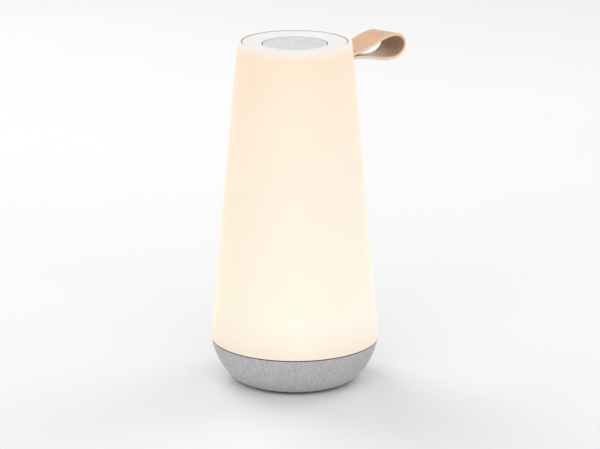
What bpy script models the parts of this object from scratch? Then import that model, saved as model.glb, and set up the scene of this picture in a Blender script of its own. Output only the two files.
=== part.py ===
"""Portable lantern speaker: a tall lit shade on a knitted bowl base, with a flush dial and a leather loop.

Metres, +Z up. The origin is on the table, under the middle of the foot, and the leather loop points to +Y.
"""
import math

import bmesh
import bpy
from mathutils import Matrix, Vector

MM = 0.001
GAP = 0.3 * MM                  # clearance between pieces that touch
SHARP_ANGLE = math.radians(35)
ARC_HANDLE = 0.5523             # Bezier handle of a quarter round, as a share of its radius

# The outside: shade, seam and bowl
HEIGHT = 268.0 * MM
SEAM_HEIGHT = 33.4 * MM
SHADE_FOOT_RADIUS = 65.2 * MM
SHADE_TOP_RADIUS = 43.6 * MM
SHADE_WALL = 2.5 * MM
BOWL_TOP_RADIUS = 64.9 * MM
BOWL_FLAT_RADIUS = 41.9 * MM
BOWL_UNDERSIDE = 1.5 * MM
BOWL_POWER = 2 / 1.3            # how full the bowl's flank is
CLOTH_THICKNESS = 0.8 * MM
BOWL_WALL = 2.2 * MM
SEAM_HALF_GAP = 0.5 * MM
FOOT_RADIUS = 36.4 * MM
FOOT_THICKNESS = 1.7 * MM

# The top: dial, grille, upward driver
DIAL_OUTER = 40.3 * MM
DIAL_INNER = 25.3 * MM
DIAL_TOP = 267.7 * MM
DIAL_PLATE = 2.8 * MM
DIAL_EDGE = 0.5 * MM
DISH_DEPTH = 1.2 * MM
PIP_PLACE = 31.8 * MM
PIP_RADIUS = 4.2 * MM
PIP_HEIGHT = 0.7 * MM
GRILLE_RADIUS = 24.9 * MM
GRILLE_TOP = 266.9 * MM
FRAME_FLANGE_TOP = 259.6 * MM
NECK_TOP = 261.3 * MM
CUP_RADIUS = 27.0 * MM
CUP_FLOOR = 229.5 * MM

# The leather loop
STRAP_HEIGHT = 248.1 * MM
STRAP_HINGE = 48.5 * MM
STRAP_WIDTH = 23.4 * MM
LEATHER = 2.2 * MM
STRAP_SPLIT = 50.2 * MM
LOOP_CENTRE = 106.5 * MM
LOOP_HALF_HEIGHT = 8.15 * MM
LOOP_REACH = 14.4 * MM

# The rear panel, a tilted local frame on the bowl's flank
PANEL_HEIGHT = 22.2 * MM
PANEL_SIZE = (40 * MM, 10.5 * MM)
BUTTON_OFFSET = 13.6 * MM
BUTTON_RADIUS = 3.2 * MM

# Inside the base
CHASSIS_TOP = 10.2 * MM
CELL_RADIUS = 9.1 * MM
CELL_LENGTH = 65.0 * MM
CELL_PLACE = (35.8 * MM, 20.4 * MM)
DECK_TOP = 36.0 * MM
BOARD_BOTTOM = 30.4 * MM
COLUMN_RADIUS = 7.5 * MM

for old in list(bpy.data.objects):
    bpy.data.objects.remove(old)
parts = bpy.data.collections.new("lantern_speaker")
cutters = bpy.data.collections.new("cutters")
for collection in (parts, cutters):
    bpy.context.scene.collection.children.link(collection)


def material(name, colour, roughness, metallic=0.0):
    """One plain finish."""
    finish = bpy.data.materials.new(name)
    finish.use_nodes = True
    shader = finish.node_tree.nodes["Principled BSDF"]
    shader.inputs["Base Color"].default_value = (*colour, 1)
    shader.inputs["Roughness"].default_value = roughness
    shader.inputs["Metallic"].default_value = metallic
    return finish


OPAL = material("opal_plastic", (0.95, 0.88, 0.78), 0.35)
WHITE = material("white_plastic", (0.86, 0.86, 0.85), 0.4)
GREY = material("grey_plastic", (0.72, 0.72, 0.72), 0.5)
BLACK = material("black_plastic", (0.04, 0.04, 0.045), 0.5)
CLOTH = material("knit_cloth", (0.5, 0.5, 0.5), 0.9)
SCRIM = material("acoustic_cloth", (0.1, 0.1, 0.1), 0.9)
LEATHER_TAN = material("tan_leather", (0.72, 0.45, 0.3), 0.55)
RUBBER = material("rubber", (0.12, 0.11, 0.11), 0.8)
SEAM_RUBBER = material("seam_rubber", (0.2, 0.14, 0.14), 0.7)
STEEL = material("steel", (0.6, 0.6, 0.62), 0.3, 1.0)
PAPER = material("cone_paper", (0.08, 0.08, 0.085), 0.7)
LAMINATE = material("circuit_laminate", (0.03, 0.22, 0.1), 0.45)
WHITE_LAMINATE = material("lamp_laminate", (0.9, 0.9, 0.88), 0.4)
WRAP = material("cell_wrap", (0.1, 0.3, 0.6), 0.35)


def bake(obj):
    """Turn an object's modifiers into its mesh, smooth up to its sharp edges."""
    depsgraph = bpy.context.evaluated_depsgraph_get()
    mesh = bpy.data.meshes.new_from_object(obj.evaluated_get(depsgraph), depsgraph=depsgraph)
    obj.modifiers.clear()
    obj.data = mesh
    mesh.shade_smooth()
    mesh.set_sharp_from_angle(angle=SHARP_ANGLE)


def add(name, mesh, finish):
    """Link a mesh as a named part."""
    obj = bpy.data.objects.new(name, mesh)
    parts.objects.link(obj)
    mesh.name = name
    mesh.materials.clear()
    mesh.materials.append(finish)
    return obj


def turned(name, profile, finish, steps=24):
    """Spin (radius, height) points about Z; they run down the outer side and back up the inner one."""
    mesh = bpy.data.meshes.new(name)
    last = len(profile) - 1
    edges = [(i, i + 1) for i in range(last)]
    if min(radius for radius, height in profile) > 0:
        edges.append((last, 0))
    mesh.from_pydata([(radius, 0, height) for radius, height in profile], edges, [])
    obj = add(name, mesh, finish)
    spin = obj.modifiers.new("spin", "SCREW")
    spin.steps = spin.render_steps = steps
    spin.use_merge_vertices = True
    spin.merge_threshold = 0.00001
    bake(obj)
    return obj


def box(name, low, high, finish, bevel=0.0, segments=2):
    """A block between two corners, its edges rounded by bevel."""
    bm = bmesh.new()
    bmesh.ops.create_cube(bm, size=1)
    size = Vector(high) - Vector(low)
    middle = (Vector(high) + Vector(low)) / 2
    bmesh.ops.transform(bm, matrix=Matrix.Translation(middle) @ Matrix.Diagonal((*size, 1)), verts=bm.verts)
    mesh = bpy.data.meshes.new(name)
    bm.to_mesh(mesh)
    bm.free()
    obj = add(name, mesh, finish)
    if bevel:
        edge = obj.modifiers.new("edge", "BEVEL")
        edge.width = bevel
        edge.segments = segments
    bake(obj)
    return obj


def move(obj, matrix):
    """Carry a part's mesh by a matrix."""
    obj.data.transform(matrix)
    return obj


def boolean(target, tools, operation="DIFFERENCE"):
    """Cut, join or intersect with other meshes, which then stay as hidden guides."""
    for tool in tools:
        if tool.name in parts.objects:
            parts.objects.unlink(tool)
            cutters.objects.link(tool)
        tool.hide_render = True
        tool.display_type = "WIRE"
        change = target.modifiers.new(operation.lower(), "BOOLEAN")
        change.operation = operation
        change.object = tool
    bake(target)


def many(name, shapes):
    """One mesh of several separate blocks or prisms, for use as a cutter; each shape fills a bmesh."""
    bm = bmesh.new()
    for shape in shapes:
        shape(bm)
    mesh = bpy.data.meshes.new(name)
    bm.to_mesh(mesh)
    bm.free()
    return add(name, mesh, BLACK)


def prism(radius, low, high, x, y, sides=8):
    """A small upright prism for many()."""
    place = Matrix.Translation((x, y, (low + high) / 2))
    return lambda bm: bmesh.ops.create_cone(bm, cap_ends=True, segments=sides, radius1=radius,
                                            radius2=radius, depth=high - low, matrix=place)


def block(size, matrix):
    """A small block for many()."""
    return lambda bm: bmesh.ops.create_cube(bm, size=1, matrix=matrix @ Matrix.Diagonal((*size, 1)))


def ring(outer, inner, bottom, top):
    """A plain rectangular ring's profile."""
    return [(outer, top), (outer, bottom), (inner, bottom), (inner, top)]


def screw(name, place, direction, head=(2.3 * MM, 1.0 * MM), shank=(1.2 * MM, 6.0 * MM)):
    """A pan-head screw whose head's seat is at place and whose shank points along direction."""
    head_radius, head_height = head
    shank_radius, length = shank
    profile = [(0, head_height), (0.7 * head_radius, head_height), (head_radius, 0.45 * head_height),
               (head_radius, 0), (shank_radius, 0), (shank_radius, -0.85 * length), (0, -length)]
    obj = turned(name, profile, STEEL, steps=9)
    turn = (-Vector(direction)).to_track_quat("Z", "Y").to_matrix().to_4x4()
    return move(obj, Matrix.Translation(place) @ turn)


def around(count, start=0.0):
    """Evenly spaced angles about Z."""
    return [start + 2 * math.pi * i / count for i in range(count)]


def bowl_outline(inset, top, count=8):
    """Points down the bowl's flank from height top to its flat underside, set in by inset."""
    spread = BOWL_TOP_RADIUS - BOWL_FLAT_RADIUS
    depth = SEAM_HEIGHT - BOWL_UNDERSIDE
    first = math.asin(((SEAM_HEIGHT - top) / depth) ** (1 / BOWL_POWER))
    points = []
    for i in range(count):
        t = first + (math.pi / 2 - first) * i / (count - 1)
        slope = Vector((spread * math.sin(t), depth * BOWL_POWER * math.sin(t) ** (BOWL_POWER - 1) * math.cos(t)))
        slope.normalize()
        radius = BOWL_FLAT_RADIUS + spread * math.cos(t) - inset * slope.y
        height = SEAM_HEIGHT - depth * math.sin(t) ** BOWL_POWER + inset * slope.x
        points.append((radius, height))
    points[0] = (points[0][0], top)
    return points


def bowl_shell(outside, inside, top):
    """Profile of a shell that follows the bowl between two insets, open underneath."""
    return bowl_outline(outside, top) + bowl_outline(inside, top)[::-1]


def shade_radius(height):
    """Outer radius of the straight, tapering shade at a height."""
    share = (height - SEAM_HEIGHT) / (HEIGHT - SEAM_HEIGHT)
    return SHADE_FOOT_RADIUS + (SHADE_TOP_RADIUS - SHADE_FOOT_RADIUS) * share


# --- Shade: one opal moulding with a rounded lip and a slot for the strap
shade_bottom = SEAM_HEIGHT + SEAM_HALF_GAP
lip = 0.6 * MM
shade = turned("diffuser_shell", [
    (SHADE_TOP_RADIUS - lip, HEIGHT), (shade_radius(HEIGHT - lip), HEIGHT - lip),
    (shade_radius(shade_bottom), shade_bottom), (shade_radius(shade_bottom) - SHADE_WALL, shade_bottom),
    (SHADE_TOP_RADIUS - SHADE_WALL, HEIGHT - lip), (SHADE_TOP_RADIUS - SHADE_WALL + 0.3 * MM, HEIGHT),
], OPAL, steps=54)
slot_half = STRAP_WIDTH / 2 + 0.5 * MM
slot_half_height = LEATHER + 0.4 * MM
slot_cutter = box("strap_slot_cutter",
                  (-slot_half, CUP_RADIUS, STRAP_HEIGHT - slot_half_height),
                  (slot_half, STRAP_SPLIT, STRAP_HEIGHT + slot_half_height), OPAL)
boolean(shade, [slot_cutter])

# --- Dial: a ring dished towards the grille, with a low raised pip and a skirt; it turns about Z
dial_under = DIAL_TOP - DIAL_PLATE
skirt_bottom = FRAME_FLANGE_TOP + 2.0 * MM
skirt_wall = 1.7 * MM
dish_rim = DIAL_TOP - DISH_DEPTH
dial = turned("control_ring", [
    (DIAL_OUTER - DIAL_EDGE, DIAL_TOP), (DIAL_OUTER, DIAL_TOP - DIAL_EDGE), (DIAL_OUTER, skirt_bottom),
    (DIAL_OUTER - skirt_wall, skirt_bottom), (DIAL_OUTER - skirt_wall, dial_under),
    (DIAL_INNER, dial_under), (DIAL_INNER, dish_rim - DIAL_EDGE), (DIAL_INNER + DIAL_EDGE, dish_rim),
], WHITE, steps=48)
dish_slope = DISH_DEPTH / (DIAL_OUTER - DIAL_INNER - 2 * DIAL_EDGE)
pip_seat = dish_rim + dish_slope * (PIP_PLACE - DIAL_INNER - DIAL_EDGE)
pip_root = 0.2 * MM
pip_arc = [(PIP_RADIUS * math.sin(a), (PIP_HEIGHT + pip_root) * math.cos(a) - pip_root)
           for a in [math.pi / 2 * i / 4 for i in range(1, 5)]]
pip = turned("dial_pip", [(0, PIP_HEIGHT)] + pip_arc + [(PIP_RADIUS, -MM), (0, -MM)], WHITE, steps=16)
move(pip, Matrix.Translation((0, PIP_PLACE, pip_seat)) @ Matrix.Rotation(math.atan(dish_slope), 4, "X"))
boolean(dial, [pip], "UNION")

turned("ring_bearing", ring(32 * MM, 29 * MM, FRAME_FLANGE_TOP + GAP, dial_under - GAP), GREY)
encoder_radius = 35.3 * MM
encoder_screw_angles = around(3, math.radians(30))
encoder_bottom = FRAME_FLANGE_TOP + GAP
encoder_top = encoder_bottom + 1.2 * MM
encoder = turned("ring_encoder_board", ring(37.6 * MM, 33 * MM, encoder_bottom, encoder_top), LAMINATE)

# --- Top frame: the cup that carries the driver, the dial and the strap, glued into the shade's neck
frame = turned("top_frame", [
    (26.6 * MM, NECK_TOP), (26.6 * MM, FRAME_FLANGE_TOP), (40.6 * MM, FRAME_FLANGE_TOP),
    (40.6 * MM, FRAME_FLANGE_TOP - 2 * MM), (28.4 * MM, FRAME_FLANGE_TOP - 2 * MM),
    (CUP_RADIUS, FRAME_FLANGE_TOP - 4 * MM), (CUP_RADIUS, CUP_FLOOR), (4.6 * MM, CUP_FLOOR),
    (4.6 * MM, CUP_FLOOR + 2 * MM), (CUP_RADIUS - 2 * MM, CUP_FLOOR + 2 * MM),
    (CUP_RADIUS - 2 * MM, NECK_TOP - 4 * MM), (22.8 * MM, NECK_TOP - 2 * MM), (22.8 * MM, NECK_TOP),
], WHITE, steps=28)
encoder_holes = many("encoder_hole_cutter", [
    prism(1.2 * MM, CUP_FLOOR + 20 * MM, HEIGHT, encoder_radius * math.cos(a), encoder_radius * math.sin(a))
    for a in encoder_screw_angles])
boolean(frame, [encoder_holes])
boolean(encoder, [encoder_holes])
for number, a in enumerate(encoder_screw_angles, 1):
    screw(f"encoder_screw_{number}",
          (encoder_radius * math.cos(a), encoder_radius * math.sin(a), encoder_top + 0.1 * MM), (0, 0, -1),
          head=(1.7 * MM, 0.9 * MM), shank=(0.9 * MM, 5 * MM))

# --- Grille and the cloth under it
dome = 0.5 * MM
grille_sheet = 1.0 * MM
rim_bottom = NECK_TOP + 3.0 * MM
grille = turned("top_grille", [
    (0, GRILLE_TOP), (0.5 * GRILLE_RADIUS, GRILLE_TOP - 0.25 * dome), (0.97 * GRILLE_RADIUS, GRILLE_TOP - dome),
    (GRILLE_RADIUS, GRILLE_TOP - 1.6 * dome), (GRILLE_RADIUS, rim_bottom), (GRILLE_RADIUS - 1.2 * MM, rim_bottom),
    (GRILLE_RADIUS - 1.2 * MM, GRILLE_TOP - dome - grille_sheet),
    (0.5 * GRILLE_RADIUS, GRILLE_TOP - 0.25 * dome - grille_sheet), (0, GRILLE_TOP - grille_sheet),
], GREY, steps=36)
hole_pitch = 8.4 * MM
hole_radius = 1.8 * MM
hole_rows = [prism(hole_radius, rim_bottom - MM, HEIGHT, 0, 0, sides=6)]
for row in (1, 2):
    hole_rows += [prism(hole_radius, rim_bottom - MM, HEIGHT, row * hole_pitch * math.cos(a),
                        row * hole_pitch * math.sin(a), sides=6) for a in around(6 * row, 0.1)]
boolean(grille, [many("grille_hole_cutter", hole_rows)])
turned("grille_scrim", [(0, rim_bottom + 0.9 * MM), (23.4 * MM, rim_bottom + 0.9 * MM),
                        (23.4 * MM, rim_bottom + 0.6 * MM), (0, rim_bottom + 0.6 * MM)], SCRIM)

# --- Upward driver: basket, magnet, surround and cone; the cone moves along Z
seat = NECK_TOP + GAP
turned("driver_basket", [
    (26.4 * MM, seat + 1.6 * MM), (26.4 * MM, seat), (22.4 * MM, seat), (22.4 * MM, seat - 1.4 * MM),
    (13.2 * MM, seat - 9.6 * MM), (13.2 * MM, seat - 10.6 * MM), (5 * MM, seat - 10.6 * MM),
    (5 * MM, seat - 9.4 * MM), (12.4 * MM, seat - 9.4 * MM), (21.2 * MM, seat - 1.2 * MM),
    (21.2 * MM, seat + 0.6 * MM), (22.8 * MM, seat + 0.6 * MM), (22.8 * MM, seat + 1.6 * MM)], BLACK)
turned("driver_magnet", [
    (0, seat - 10.9 * MM), (12.2 * MM, seat - 10.9 * MM), (12.2 * MM, seat - 12.5 * MM),
    (13.4 * MM, seat - 12.5 * MM), (13.4 * MM, seat - 17.0 * MM), (12.2 * MM, seat - 18.4 * MM),
    (0, seat - 18.4 * MM)], STEEL, steps=20)
turned("driver_surround", [
    (20.4 * MM, seat + 1.9 * MM), (22.5 * MM, seat + 1.3 * MM), (22.5 * MM, seat + 0.9 * MM),
    (20.4 * MM, seat + 1.4 * MM), (18.3 * MM, seat + 0.9 * MM), (18.3 * MM, seat + 1.3 * MM)], RUBBER, steps=20)
turned("driver_cone", [
    (0, seat - 0.6 * MM), (4 * MM, seat - 1.4 * MM), (7 * MM, seat - 3.4 * MM), (18 * MM, seat + 1.3 * MM),
    (18 * MM, seat + 0.7 * MM), (7 * MM, seat - 4.1 * MM), (4.2 * MM, seat - 4.1 * MM),
    (4.2 * MM, seat - 7.6 * MM), (0, seat - 7.6 * MM)], PAPER, steps=20)

# --- Leather loop: clamped root inside the shade, and the loop that flexes about X just outside it
anchor_near = CUP_RADIUS + 1.2 * MM
anchor_far = 36.5 * MM
anchor_half = 17.0 * MM
tail_bottom = STRAP_HEIGHT - LEATHER
tail_top = STRAP_HEIGHT + LEATHER
box("strap_root", (-STRAP_WIDTH / 2, anchor_near, tail_bottom),
    (STRAP_WIDTH / 2, STRAP_HINGE - LEATHER - GAP, tail_top), LEATHER_TAN, bevel=0.4 * MM)
anchor = box("strap_anchor", (-anchor_half - 3 * MM, anchor_near, tail_bottom - 5 * MM),
             (anchor_half + 3 * MM, anchor_far, tail_bottom - GAP), WHITE)
cheeks = many("anchor_cheek_tool", [
    block((2.6 * MM, anchor_far - anchor_near, 13 * MM),
          Matrix.Translation((side * (anchor_half + 1.7 * MM), (anchor_near + anchor_far) / 2,
                              tail_bottom + 5.2 * MM))) for side in (-1, 1)])
boolean(anchor, [cheeks], "UNION")
plate = box("strap_clamp_plate", (-anchor_half, anchor_near, tail_top + GAP),
            (anchor_half, anchor_far, tail_top + 2.5 * MM), STEEL, bevel=0.4 * MM)
clamp_screw_x = anchor_half - 2.2 * MM
clamp_screw_y = (anchor_near + anchor_far) / 2
clamp_holes = many("clamp_hole_cutter", [
    prism(1.5 * MM, tail_bottom - 8 * MM, tail_top + 6 * MM, side * clamp_screw_x, clamp_screw_y)
    for side in (-1, 1)])
boolean(anchor, [clamp_holes])
boolean(plate, [clamp_holes])
for side, word in ((-1, "left"), (1, "right")):
    screw(f"strap_screw_{word}", (side * clamp_screw_x, clamp_screw_y, tail_top + 2.6 * MM), (0, 0, -1),
          head=(2.0 * MM, 1.2 * MM), shank=(1.2 * MM, 10 * MM))

strap_pivot = bpy.data.objects.new("strap_pivot", None)
strap_pivot.location = (0, STRAP_HINGE, STRAP_HEIGHT)
parts.objects.link(strap_pivot)


def bezier_outline(curve, points):
    """Closed Bezier spline from (point, left handle, right handle) triples."""
    spline = curve.splines.new("BEZIER")
    spline.bezier_points.add(len(points) - 1)
    spline.use_cyclic_u = True
    for knot, (place, left, right) in zip(spline.bezier_points, points):
        knot.handle_left_type = knot.handle_right_type = "FREE"
        knot.co, knot.handle_left, knot.handle_right = [(*p, 0) for p in (place, left, right)]


def loop_outline(inset):
    """Teardrop knots, inset from its opening, from where the layers part and round the oval end."""
    start = STRAP_SPLIT - STRAP_HINGE
    middle = LOOP_CENTRE - STRAP_HINGE
    lean = 31.5 * MM
    pull = 39.5 * MM
    height = LOOP_HALF_HEIGHT + inset
    end = middle + LOOP_REACH + inset
    arc_along = ARC_HANDLE * (LOOP_REACH + inset)
    arc_up = ARC_HANDLE * height
    upper = [((start, inset), (start, inset), (lean, inset + 0.5 * MM)),
             ((middle, height), (pull, height), (middle + arc_along, height)),
             ((end, 0), (end, arc_up), (end, -arc_up))]
    lower = [((x, -y), (rx, -ry), (lx, -ly)) for (x, y), (lx, ly), (rx, ry) in upper[:2]][::-1]
    return upper + lower


outline = bpy.data.curves.new("strap_outline", "CURVE")
outline.dimensions = "2D"
outline.fill_mode = "BOTH"
outline.extrude = STRAP_WIDTH / 2
outline.resolution_u = 7
root_arc = ARC_HANDLE * LEATHER
root_top = ((0, LEATHER), (-root_arc, LEATHER), (0, LEATHER))
root_end = ((-LEATHER, 0), (-LEATHER, -root_arc), (-LEATHER, root_arc))
root_bottom = ((0, -LEATHER), (0, -LEATHER), (-root_arc, -LEATHER))
bezier_outline(outline, [root_top] + loop_outline(LEATHER) + [root_bottom, root_end])
bezier_outline(outline, loop_outline(0)[:-1])
strap_curve = bpy.data.objects.new("strap_curve", outline)
parts.objects.link(strap_curve)
depsgraph = bpy.context.evaluated_depsgraph_get()
strap_mesh = bpy.data.meshes.new_from_object(strap_curve.evaluated_get(depsgraph), depsgraph=depsgraph)
bpy.data.objects.remove(strap_curve)
bm = bmesh.new()
bm.from_mesh(strap_mesh)
bmesh.ops.remove_doubles(bm, verts=bm.verts, dist=0.00001)
bmesh.ops.recalc_face_normals(bm, faces=bm.faces)
bm.to_mesh(strap_mesh)
bm.free()
upright = Matrix(((0, 0, 1, 0), (1, 0, 0, 0), (0, 1, 0, 0), (0, 0, 0, 1)))
strap_mesh.transform(upright)
strap = add("strap_loop", strap_mesh, LEATHER_TAN)
strap.parent = strap_pivot
strap_mesh.shade_smooth()
strap_mesh.set_sharp_from_angle(angle=SHARP_ANGLE)

# --- Column: the tube between base and top frame, with the driver's lead inside it
flange_top = DECK_TOP + GAP + 2 * MM
column = turned("column_tube", [
    (COLUMN_RADIUS, CUP_FLOOR - GAP), (COLUMN_RADIUS, flange_top), (14.5 * MM, flange_top),
    (14.5 * MM, DECK_TOP + GAP), (COLUMN_RADIUS - 1.5 * MM, DECK_TOP + GAP),
    (COLUMN_RADIUS - 1.5 * MM, CUP_FLOOR - GAP)], WHITE, steps=24)
lead = bpy.data.curves.new("lead_path", "CURVE")
lead.dimensions = "3D"
lead.bevel_depth = 1.5 * MM
lead.bevel_resolution = 2
lead.use_fill_caps = True
lead_points = 14
run = lead.splines.new("POLY")
run.points.add(lead_points - 1)
lead_bottom = BOARD_BOTTOM + 2.2 * MM
lead_top = seat - 20 * MM
for i, point in enumerate(run.points):
    share = i / (lead_points - 1)
    point.co = (1.5 * MM * math.sin(2 * math.pi * share), 0, lead_bottom + (lead_top - lead_bottom) * share, 1)
lead_curve = bpy.data.objects.new("driver_lead", lead)
lead.materials.append(BLACK)
parts.objects.link(lead_curve)

# --- Light deck, lamp ring and the column's screws
deck_rim = 62.1 * MM
deck_rim_bottom = SEAM_HEIGHT + 0.55 * MM
deck = turned("light_deck", [
    (deck_rim, DECK_TOP), (deck_rim, deck_rim_bottom), (60.4 * MM, deck_rim_bottom), (60.4 * MM, 29.6 * MM),
    (58.8 * MM, 29.6 * MM), (58.8 * MM, DECK_TOP - 1.7 * MM), (4.6 * MM, DECK_TOP - 1.7 * MM),
    (4.6 * MM, DECK_TOP)], WHITE, steps=36)
lamp_bottom = DECK_TOP + GAP
lamp_board = turned("led_board", ring(44 * MM, 30 * MM, lamp_bottom, lamp_bottom + 1.2 * MM), WHITE_LAMINATE)
lamp_size = Vector((3.5, 3.5, 1.6)) * MM
lamps = many("lamp_tool", [
    block(lamp_size, Matrix.Rotation(a, 4, "Z") @ Matrix.Translation((37 * MM, 0, lamp_bottom + 1.3 * MM)))
    for a in around(12)])
boolean(lamp_board, [lamps], "UNION")
column_screw_radius = 11 * MM
column_holes = many("column_hole_cutter", [
    prism(1.5 * MM, DECK_TOP - 6 * MM, flange_top + 3 * MM, column_screw_radius * math.cos(a),
          column_screw_radius * math.sin(a)) for a in around(3)])
boolean(column, [column_holes])
boolean(deck, [column_holes])
for number, a in enumerate(around(3), 1):
    place = (column_screw_radius * math.cos(a), column_screw_radius * math.sin(a), flange_top + 0.1 * MM)
    screw(f"column_screw_{number}", place, (0, 0, -1), head=(2.0 * MM, 1.2 * MM), shank=(1.2 * MM, 4.6 * MM))

turned("seam_gasket", ring(64.3 * MM, 60.8 * MM, SEAM_HEIGHT - 0.2 * MM, SEAM_HEIGHT + 0.25 * MM),
       SEAM_RUBBER, steps=44)

# --- Bowl: knitted cover over a slotted shell, closed by a screwed plate with the foot under it
bowl_top = SEAM_HEIGHT - SEAM_HALF_GAP
hem_radius = FOOT_RADIUS + 0.6 * MM
cloth_inner = bowl_outline(CLOTH_THICKNESS, bowl_top)[::-1]
cloth = turned("base_fabric", bowl_outline(0, bowl_top)
               + [(hem_radius, BOWL_UNDERSIDE), (hem_radius, BOWL_UNDERSIDE + CLOTH_THICKNESS)]
               + cloth_inner, CLOTH, steps=48)
shell_outset = CLOTH_THICKNESS + GAP
shell_inset = shell_outset + BOWL_WALL
shell_bottom = BOWL_UNDERSIDE + shell_outset
ledge_bottom = shell_bottom + 1.7 * MM
ledge_top = ledge_bottom + 2.5 * MM
shell_inner = [p for p in bowl_outline(shell_inset, bowl_top) if p[1] > ledge_top][::-1]
bowl = turned("base_bowl", bowl_outline(shell_outset, bowl_top)
              + [(34 * MM, shell_bottom), (34 * MM, ledge_bottom), (28.4 * MM, ledge_bottom),
                 (28.4 * MM, ledge_top), (40 * MM, ledge_top)] + shell_inner, GREY, steps=32)
slot_size = (30 * MM, 2.4 * MM, 11 * MM)
rear = math.pi / 2
slot_angles = [a for a in around(20) if abs(math.remainder(a - rear, 2 * math.pi)) > math.radians(30)]
sound_slots = many("sound_slot_cutter", [
    block(slot_size, Matrix.Rotation(a, 4, "Z") @ Matrix.Translation((58 * MM, 0, 20 * MM)))
    for a in slot_angles])
boolean(bowl, [sound_slots])
cover_bottom = FOOT_THICKNESS + GAP
cover = turned("bottom_cover", [(0, cover_bottom + 2 * MM), (33.6 * MM, cover_bottom + 2 * MM),
                                (33.6 * MM, cover_bottom), (0, cover_bottom)], BLACK, steps=32)
turned("foot_pad", [(0, FOOT_THICKNESS), (FOOT_RADIUS - 0.4 * MM, FOOT_THICKNESS),
                    (FOOT_RADIUS, FOOT_THICKNESS - 0.4 * MM), (FOOT_RADIUS - 0.5 * MM, 0), (0, 0)],
       RUBBER, steps=40)
base_screw_radius = 31.0 * MM
base_screw_angles = around(4, math.radians(45))
base_screw_spots = [(base_screw_radius * math.cos(a), base_screw_radius * math.sin(a))
                    for a in base_screw_angles]
shank_holes = many("base_hole_cutter", [prism(1.4 * MM, 0, 2 * ledge_top, x, y) for x, y in base_screw_spots])
head_seat = cover_bottom + 1.2 * MM
head_holes = many("base_head_cutter", [
    prism(2.1 * MM, cover_bottom - MM, head_seat, x, y, sides=10) for x, y in base_screw_spots])
boolean(cover, [head_holes, shank_holes])
boolean(bowl, [shank_holes])
for number, (x, y) in enumerate(base_screw_spots, 1):
    screw(f"base_screw_{number}", (x, y, head_seat - 0.1 * MM), (0, 0, 1),
          head=(1.8 * MM, 0.9 * MM), shank=(1.1 * MM, 4.4 * MM))

# --- Chassis tray, downward bass driver, cells and boards
rib_outer = 36 * MM
rib_inner = 34 * MM
opening = 22.7 * MM
turned("base_chassis", [
    (47.6 * MM, CHASSIS_TOP), (46.8 * MM, CHASSIS_TOP - 1.6 * MM), (rib_outer, CHASSIS_TOP - 1.6 * MM),
    (rib_outer, ledge_top + GAP), (rib_inner, ledge_top + GAP), (rib_inner, CHASSIS_TOP - 1.6 * MM),
    (opening, CHASSIS_TOP - 1.6 * MM), (opening, CHASSIS_TOP)], BLACK)
floor = CHASSIS_TOP + GAP
turned("woofer_basket", [
    (14.5 * MM, floor + 10.5 * MM), (23.8 * MM, floor + 2.0 * MM), (26.2 * MM, floor + 1.5 * MM),
    (26.2 * MM, floor), (opening, floor), (opening, floor + 1.8 * MM), (13.6 * MM, floor + 9.4 * MM),
    (6 * MM, floor + 9.4 * MM), (6 * MM, floor + 10.5 * MM)], BLACK)
turned("woofer_magnet", [
    (0, floor + 18 * MM), (13.6 * MM, floor + 18 * MM), (15 * MM, floor + 16.6 * MM),
    (15 * MM, floor + 12.4 * MM), (13.6 * MM, floor + 12.4 * MM), (13.6 * MM, floor + 10.8 * MM),
    (0, floor + 10.8 * MM)], STEEL, steps=20)
turned("woofer_surround", [
    (18.5 * MM, floor + 0.5 * MM), (20.5 * MM, floor - 0.7 * MM), (22.4 * MM, floor + 0.5 * MM),
    (22.4 * MM, floor), (20.5 * MM, floor - 1.3 * MM), (18.5 * MM, floor)], RUBBER, steps=20)
turned("woofer_cone", [
    (0, floor + 6.6 * MM), (8 * MM, floor + 6.6 * MM), (18.2 * MM, floor + 0.9 * MM),
    (18.2 * MM, floor + 0.1 * MM), (8 * MM, floor + 5.2 * MM), (5 * MM, floor + 3.2 * MM),
    (0, floor + 2.2 * MM)], PAPER, steps=20)

cell_x, cell_z = CELL_PLACE
for side, word in ((-1, "left"), (1, "right")):
    half = CELL_LENGTH / 2
    lay_down = Matrix.Translation((side * cell_x, 0, cell_z)) @ Matrix.Rotation(math.pi / 2, 4, "X")
    cell = turned(f"battery_cell_{word}", [
        (0, half), (3 * MM, half), (3 * MM, half - MM), (CELL_RADIUS - 0.6 * MM, half - MM),
        (CELL_RADIUS, half - 1.6 * MM), (CELL_RADIUS, -half + 0.6 * MM), (CELL_RADIUS - 0.6 * MM, -half),
        (0, -half)], WRAP, steps=20)
    move(cell, lay_down)
    inner_side, outer_side = sorted((side * 26.7 * MM, side * 46.4 * MM))
    cradle = box(f"battery_cradle_{word}", (inner_side, -12 * MM, floor), (outer_side, 12 * MM, cell_z - 4 * MM),
                 BLACK)
    bed = turned(f"cradle_cutter_{word}", [(0, half), (CELL_RADIUS + GAP, half), (CELL_RADIUS + GAP, -half),
                                           (0, -half)], BLACK, steps=24)
    move(bed, lay_down)
    boolean(cradle, [bed])

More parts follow.
